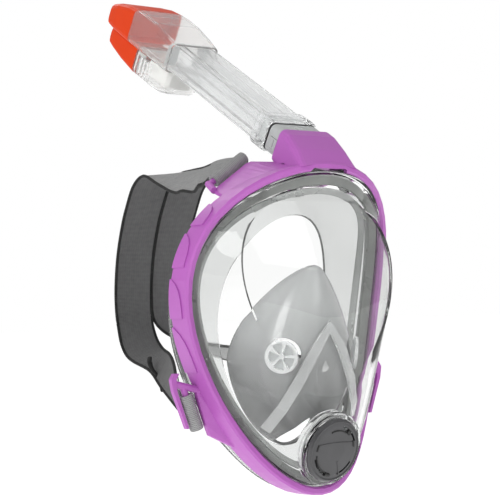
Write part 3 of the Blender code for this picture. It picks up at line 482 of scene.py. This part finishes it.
SKIRT_ROWS = (
    # half width, top, bottom, egg, y at the sides, top and bottom, from the band in to the seal and back
    (90.0, 118.0, 116.0, 0.20, 43.0, 1.0, 20.0), (87.0, 113.0, 111.0, 0.19, 50.0, 10.0, 30.0),
    (76.0, 102.0, 100.0, 0.16, 53.0, 17.0, 37.0), (60.0, 91.0, 90.0, 0.13, 48.5, 15.5, 36.0),
    (49.5, 83.0, 84.0, 0.10, 43.0, 12.0, 33.0), (50.0, 83.5, 84.5, 0.10, 41.3, 10.2, 31.2),
    (60.0, 91.0, 90.0, 0.13, 46.0, 13.0, 33.6), (75.0, 101.0, 99.0, 0.16, 50.6, 14.4, 34.6),
    (84.5, 110.5, 108.5, 0.19, 48.0, 8.0, 28.0), (87.5, 115.5, 113.5, 0.20, 42.0, 0.5, 19.0),
)
FLANGE_SECTION = ((-3.1, 4.2), (-3.1, 7.6), (-6.5, 9.0), (-9.6, 8.0), (-9.2, 6.2), (-6.0, 5.0))
RIB_SECTION = ((-11.4, 9.6), (-15.0, 11.4), (-15.8, 12.8), (-14.8, 13.6), (-11.0, 11.4))
LINER_SECTION = ((-0.35, 8.0), (-0.35, 19.0), (-1.1, 19.0), (-1.1, 8.0))


def make_skirt():
    steps = 112
    loops = [ring_loop(2.9, 6.4, steps), ring_loop(2.9, BAND_DEPTH + 0.8, steps)]
    loops += [face_loop(*row, steps) for row in SKIRT_ROWS]
    loops += [ring_loop(0.4, BAND_DEPTH + 0.4, steps), ring_loop(0.4, 6.4, steps)]
    skirt = loft("skirt_seal", loops, LOOKS["silicone"], sharp=70)
    clear = [[tube_point(x, y, along) for x, y in ((-16.5, -1.5), (16.5, -1.5), (16.5, 8.5), (-16.5, 8.5))]
             for along in (-55.0, -10.0)]
    boolean(skirt, loft("slot", clear, LOOKS["silicone"], closed=False, capped=True), "DIFFERENCE")
    skirt.data.shade_smooth()
    skirt.data.set_sharp_from_angle(angle=radians(60))
    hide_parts("face_skirt")
    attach(skirt, "mask")


def make_flange():
    """The skirt's inner flange, rib and liner: grey rings that show through the lens. The flange is a real
    ring, but its dark grey is painted shade for the gap just inside the lens's lip.
    """
    for name, section, look in (("flange", FLANGE_SECTION, "flange"), ("rib", RIB_SECTION, "skirt_rib"),
                                ("liner", LINER_SECTION, "skirt_rib")):
        loops = [ring_loop(out, back, LENS_STEPS) for out, back in section]
        piece = loft("skirt_" + name, loops, LOOKS[look], sharp=50)
        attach(piece, "mask")


POCKET_ROWS = (
    (46.0, 46.0, -84.0, 38.0, -7.0, 30.0), (45.0, 45.0, -84.0, 22.0, -9.0, 22.0),
    (40.0, 41.0, -80.0, 2.0, -11.5, 10.0), (32.0, 34.0, -74.0, -10.0, -14.0, 2.0),
    (21.0, 20.0, -58.0, -15.5, -17.0, -6.0), (9.0, 0.0, -40.0, -18.0, -19.0, -12.0),
)


def pocket_loop(row, inset, steps):
    half_width, top, bottom, y_side, y_top, y_bottom = row
    middle, half_height = (top + bottom) / 2, (top - bottom) / 2 - inset
    loop = []
    for t in angles(steps):
        narrow = 1 - 0.30 * max(0.0, sin(t)) - 0.12 * max(0.0, -sin(t))
        y_end = y_top if sin(t) > 0 else y_bottom
        y = y_side * cos(t) ** 2 + y_end * sin(t) ** 2
        x = (half_width - inset) * cos(t) * narrow
        loop.append(vec(x, y + inset * 0.8, middle + half_height * sin(t)))
    return loop


def smooth_rows(rows, parts):
    """Catmull-Rom rows between rows of numbers or vectors."""
    result = []
    last = len(rows) - 1
    for i in range(last):
        a, b, c, d = rows[max(i - 1, 0)], rows[i], rows[i + 1], rows[min(i + 2, last)]
        for step in range(parts):
            u = step / parts
            result.append(tuple(0.5 * (2 * q + (r - p) * u + (2 * p - 5 * q + 4 * r - s) * u ** 2
                                       + (3 * q - p - 3 * r + s) * u ** 3) for p, q, r, s in zip(a, b, c, d)))
    result.append(tuple(rows[last]))
    return result


def valve_frame(side):
    outwards = Vector((side * 0.80, -0.58, -0.12)).normalized()
    across = Vector((0, 0, 1)).cross(outwards).normalized()
    return across, outwards.cross(across), outwards


def make_pocket():
    steps = 96
    rows = smooth_rows(POCKET_ROWS, 4)
    outer = [pocket_loop(row, 0.0, steps) for row in rows]
    inner = [pocket_loop(row, 1.8, steps) for row in rows]
    pocket = loft("pocket_shell", outer[::-1] + inner, LOOKS["pocket"], closed=False, capped=True, sharp=60)
    for side in (1, -1):
        hole = turned("hole", vec(side * 34.0, -9.6, -18.0), valve_frame(side),
                      ((12.3, -14.0), (12.3, 14.0)), 48, LOOKS["pocket"])
        boolean(pocket, hole, "DIFFERENCE")
    drain = turned("drain", vec(*VALVE_CENTRE), valve_axes(),
                   ((17.3, -48.0), (17.3, 5.0)), 48, LOOKS["pocket"])
    boolean(pocket, drain, "DIFFERENCE")
    pocket.data.shade_smooth()
    pocket.data.set_sharp_from_angle(angle=radians(60))
    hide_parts("orinasal_pocket")
    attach(pocket, "mask")


# ---------------------------------------------------------------- chin cover

def cover_point(u, v, lift=0.0):
    """A point on the cover's crowned face, from its own right and up."""
    side, up, axis = valve_axes()
    radius = sqrt(u * u + v * v)
    crown = 3.6 - 0.5 * (radius / 18.0) ** 2 if radius < 18.0 else 3.1 - 0.19 * (radius - 18.0)
    return vec(*VALVE_CENTRE) + (side * u + up * v + axis * (crown + lift)) * MM


def cover_arc(radius, start, stop, steps=14):
    return [cover_point(radius * cos(a), radius * sin(a), 0.12)
            for a in (radians(start + (stop - start) * i / steps) for i in range(steps + 1))]


def make_cover_relief():
    """The rim and ribs moulded into the chin cover, and near-black strips over its vent slots and notches as
    painted shade for the openings.
    """
    rim = [cover_point(21.4 * cos(a), 21.4 * sin(a), 0.0) for a in angles(72)]
    step = [cover_point(-14.5 + 29.0 * i / 10, 5.6 + 0.9 * sin(pi * i / 10), 0.05) for i in range(11)]
    rib = [cover_point(3.0 + 0.35 * i, -7.5 - 1.05 * i, 0.05) for i in range(11)]
    ribs = [("cover_rim", rim, 0.75, "cover", True),
            ("cover_step", step, 0.55, "cover", False),
            ("cover_rib", rib, 0.55, "cover", False),
            # painted shade: near-black strips laid on the cover where its vent slots and notches open
            ("cover_vent_shade_top", cover_arc(15.2, 62, 112), 0.6, "gasket", False),
            ("cover_vent_shade_foot", cover_arc(16.6, 188, 244), 0.6, "gasket", False),
            ("cover_vent_shade_left", cover_arc(16.8, 160, 176), 0.7, "gasket", False),
            ("cover_vent_shade_right", cover_arc(16.8, 8, 24), 0.7, "gasket", False),
            ("cover_notch_shade_top", cover_arc(16.6, 48, 60), 1.5, "gasket", False),
            ("cover_notch_shade_foot", cover_arc(17.6, 246, 260), 1.5, "gasket", False)]
    for name, points, radius, look, closed in ribs:
        piece = tube_along(name, points, radius * MM, LOOKS[look], sides=8, closed=closed)
        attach(piece, "chin_cover")


# ---------------------------------------------------------------- straps

STRAP_STATIONS = (
    # centre x, y, z, width direction x, y, z, half width, for the wearer's right
    (-46.5, 36.2, 117.0, 0.845, 0.00, 0.535, 16.5), (-41.5, 60.0, 116.0, 0.74, 0.13, 0.66, 15.5),
    (-33.5, 95.0, 115.5, 0.76, -0.10, 0.60, 15.7), (-24.8, 128.0, 121.0, 0.92, -0.10, 0.34, 16.0),
    (-18.0, 156.0, 125.5, 1.00, -0.05, 0.06, 16.6), (-17.5, 172.0, 118.0, 1.00, 0.00, 0.00, 17.0),
    (-17.5, 183.0, 102.0, 1.00, 0.00, 0.00, 17.0), (-17.5, 191.0, 86.0, 1.00, 0.00, 0.00, 17.0),
    (-17.5, 199.5, 60.0, 1.00, 0.00, 0.00, 17.0), (-17.5, 203.5, 30.0, 1.00, 0.00, 0.00, 17.0),
    (-18.2, 200.5, 6.0, 0.99, 0.00, 0.10, 16.6), (-24.5, 182.0, -12.0, 0.92, -0.10, 0.37, 15.2),
    (-40.0, 138.0, -21.0, 0.72, 0.35, 0.60, 13.4), (-57.0, 99.0, -30.0, 0.35, 0.00, 0.94, 12.5),
    (-71.0, 66.0, -42.0, -0.05, 0.05, 1.00, 13.5), (-79.0, 51.0, -48.0, -0.25, 0.00, 0.97, 14.5),
    (-83.0, 40.2, -52.0, -0.355, 0.00, 0.935, 15.0),
)


CORE = 0.42                 # half the thickness of the band
BINDING_RADIUS = 1.2
TAIL_THICKNESS = 0.9
TAIL_COLUMNS = 8
CURL_RADIUS = 1.9
CURL_ROUTE = (
    (-50.5, 132.0, -19.0), (-53.5, 127.5, -22.0), (-54.0, 123.5, -27.5), (-52.5, 118.5, -32.5),
    (-54.0, 112.5, -36.0), (-58.0, 105.0, -39.5), (-62.0, 98.0, -42.5),
)
RIPPLE = dict(start=0.010, end=0.064, wave=0.032, height=2.0)
WEBBING_BORE, WEBBING_RADIUS = 2.6, 4.88


def uv_grid(obj, values):
    """Writes a UV of metres for each vertex."""
    layer = obj.data.uv_layers.new(name="length_width")
    for loop in obj.data.loops:
        layer.data[loop.index].uv = values[loop.vertex_index]


def band_frames(side, parts=8):
    """Centre, width vector and outward normal along one strap."""
    stations = [(-side * s[0], *s[1:3], -side * s[3], *s[4:6], s[6]) for s in STRAP_STATIONS]
    rows = smooth_rows(stations, parts)
    centres = [vec(*row[:3]) for row in rows]
    frames = []
    for i, row in enumerate(rows):
        along = (centres[min(i + 1, len(rows) - 1)] - centres[max(i - 1, 0)]).normalized()
        across = Vector(row[3:6]).normalized() * row[6] * MM
        normal = along.cross(across).normalized() * side
        frames.append((centres[i], across, normal))
    return frames


def ripple(u, length):
    """How far the slack front edge waves out of the band, between the upper hook and the crown."""
    start, end = RIPPLE["start"], RIPPLE["end"]
    if u > 0 or not start < length < end:
        return 0.0
    window = sin(pi * (length - start) / (end - start))
    return RIPPLE["height"] * MM * u * u * window * sin(2 * pi * (length - start) / RIPPLE["wave"])


def make_strap(side, label):
    """One wide elastic band, light outside and dark inside, with bound edges."""
    frames = band_frames(side)
    columns = 12
    lengths = [0.0]
    for i in range(1, len(frames)):
        lengths.append(lengths[-1] + (frames[i][0] - frames[i - 1][0]).length)
    for face, offset, look in (("outer", CORE, "strap_back"), ("inner", -CORE, "strap")):
        loops, values = [], []
        for (centre, across, normal), length in zip(frames, lengths):
            loop = []
            for j in range(columns + 1):
                u = 2 * j / columns - 1
                crown = (1 - u * u) * 0.15 * MM
                wave = ripple(u, length)
                loop.append(centre + across * u * 0.985 + normal * (offset * MM + crown + wave))
            back = [p - normal * CORE * MM * (1 if offset > 0 else -1) for p in loop]
            loops.append(loop + back[::-1])
            width = across.length
            row = [(length, width * (2 * j / columns - 1)) for j in range(columns + 1)]
            values += row + row[::-1]
        piece = loft("strap_%s_%s" % (face, label), loops, LOOKS[look], closed=False, capped=True, sharp=50)
        uv_grid(piece, values)
        if face == "outer":
            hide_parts("strap_" + label)
        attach(piece, "mask")
    for edge in (1, -1):
        points = [centre + across * edge + normal * ripple(edge, length)
                  for (centre, across, normal), length in zip(frames, lengths)]
        name = "strap_binding_%s_%s" % (label, "ab"[edge > 0])
        binding = tube_along(name, points, BINDING_RADIUS * MM, LOOKS["binding"])
        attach(binding, "mask")


def make_strap_tail(side, label, level, first, last, offset):
    """The returned end of the webbing, lying on the band's outer face next to its loop."""
    frames = band_frames(side)[first:last]
    loops, values = [], []
    length = 0.0
    for i, (centre, across, normal) in enumerate(frames):
        length += (centre - frames[max(i - 1, 0)][0]).length
        lift = (offset + 0.5 * sin(pi * i / (len(frames) - 1))) * MM
        places = [2 * j / TAIL_COLUMNS - 1 for j in range(TAIL_COLUMNS + 1)]
        slack = [ripple(u, length) if level == "upper" else 0.0 for u in places]
        row = [centre + across * u * 0.93 + normal * (lift + wave) for u, wave in zip(places, slack)]
        loops.append(row + [p + normal * TAIL_THICKNESS * MM for p in row[::-1]])
        strip = [(length, across.length * u) for u in places]
        values += strip + strip[::-1]
    name = "strap_tail_%s_%s" % (level, label)
    tail = loft(name, loops, LOOKS["loop"], closed=False, capped=True, sharp=50)
    uv_grid(tail, values)
    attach(tail, "mask")


def make_strap_curl(side, label):
    """The slack bound edge, as a short fold in front of the lower hook."""
    smooth = [vec(-side * x, y, z) for x, y, z in smooth_rows(CURL_ROUTE, 5)]
    curl = tube_along("strap_curl_" + label, smooth, CURL_RADIUS * MM, LOOKS["binding"], sides=10, flat=0.7)
    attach(curl, "mask")


def make_strap_loop(side, label, level, pin, start, end):
    """A strap end rolled round its pin, with the ribbed webbing's ends turned under."""
    foot, top = vec(-side * pin[0][0], *pin[0][1:]), vec(-side * pin[1][0], *pin[1][1:])
    axis = (top - foot).normalized()
    across = axis.cross(Vector((0, 1, 0))).normalized()
    up = axis.cross(across)
    profile = [(WEBBING_BORE, start), (4.5, start), (WEBBING_RADIUS, start + 0.5)]
    profile += [(WEBBING_RADIUS, start + (end - start) * i / 6) for i in range(1, 6)]
    profile += [(WEBBING_RADIUS, end - 0.5), (4.5, end), (WEBBING_BORE, end)]
    count = 36
    name = "webbing_%s_%s" % (level, label)
    piece = turned(name, foot, (across, up, axis), profile, count, LOOKS["loop"], closed=True)
    values = [(profile[i // count][1] * MM, 2 * pi * (i % count) / count * 4.9 * MM)
              for i in range(len(profile) * count)]
    uv_grid(piece, values)
    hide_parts("strap_loop_%s_%s" % (level, label))
    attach(piece, "mask")


def make_straps():
    for side, label in ((1, "left"), (-1, "right")):
        make_strap(side, label)
        make_strap_loop(side, label, "upper", UPPER_PIN, 5.0, 38.0)
        make_strap_loop(side, label, "lower", LOWER_PIN, 7.0, 33.0)
        make_strap_tail(side, label, "upper", 0, 11, 1.0)
        make_strap_tail(side, label, "lower", -15, None, 1.0)
        make_strap_curl(side, label)


# ---------------------------------------------------------------- studio

def make_world():
    """White to the camera; to everything else a soft tent, bright above and grey low at the sides."""
    world = bpy.data.worlds.new("studio")
    world.use_nodes = True
    bpy.context.scene.world = world
    tree = world.node_tree
    tent = tree.nodes["Background"]
    white = tree.nodes.new("ShaderNodeBackground")
    white.inputs["Color"].default_value = (1, 1, 1, 1)
    white.inputs["Strength"].default_value = 1.0
    coordinates = tree.nodes.new("ShaderNodeTexCoord")
    split = tree.nodes.new("ShaderNodeSeparateXYZ")
    tree.links.new(coordinates.outputs["Generated"], split.inputs["Vector"])
    ramp = tree.nodes.new("ShaderNodeValToRGB")
    ramp.color_ramp.interpolation = "EASE"
    stops = ((0.0, 0.62), (0.42, 0.50), (0.5, 0.72), (0.62, 0.60), (0.8, 0.85), (1.0, 1.0))
    for index, (position, level) in enumerate(stops):
        stop = ramp.color_ramp.elements[index] if index < 2 else ramp.color_ramp.elements.new(position)
        stop.position = position
        stop.color = (level, level, level, 1)
    height = tree.nodes.new("ShaderNodeMapRange")
    height.inputs["From Min"].default_value = -1.0
    tree.links.new(split.outputs["Z"], height.inputs["Value"])
    tree.links.new(height.outputs["Result"], ramp.inputs["Fac"])
    tree.links.new(ramp.outputs["Color"], tent.inputs["Color"])
    tent.inputs["Strength"].default_value = 0.62
    path = tree.nodes.new("ShaderNodeLightPath")
    seen = tree.nodes.new("ShaderNodeMath")
    seen.operation = "MAXIMUM"
    tree.links.new(path.outputs["Is Camera Ray"], seen.inputs[0])
    tree.links.new(path.outputs["Is Transmission Ray"], seen.inputs[1])
    mix = tree.nodes.new("ShaderNodeMixShader")
    tree.links.new(seen.outputs[0], mix.inputs[0])
    tree.links.new(tent.outputs[0], mix.inputs[1])
    tree.links.new(white.outputs[0], mix.inputs[2])
    output = next(n for n in tree.nodes if n.type == "OUTPUT_WORLD")
    tree.links.new(mix.outputs[0], output.inputs["Surface"])


def make_studio():
    scene = bpy.context.scene
    scene.view_settings.view_transform = "Standard"
    make_world()
    for name, place, size, power in (("key", (-1.7, -0.35, 0.9), 0.8, 13), ("fill", (0.7, -1.6, 0.9), 0.9, 5),
                                     ("rim", (0.2, 1.3, 1.3), 0.8, 6)):
        data = bpy.data.lights.new(name, "AREA")
        data.size = size
        data.energy = power
        lamp = bpy.data.objects.new(name, data)
        lamp.location = place
        lamp.visible_glossy = name == "rim"
        lamp.rotation_euler = (Vector(place) - Vector((0, 0, 0.05))).to_track_quat("Z", "Y").to_euler()
        scene.collection.objects.link(lamp)
    corners = [(x * 30, y * 30, -0.3) for x, y in ((-1, -1), (1, -1), (1, 1), (-1, 1))]
    object_from("floor", corners, [(0, 1, 2, 3)], LOOKS["floor"])


dress_cad()
make_lens()
make_skirt()
make_flange()
make_pocket()
make_cover_relief()
make_straps()
make_studio()
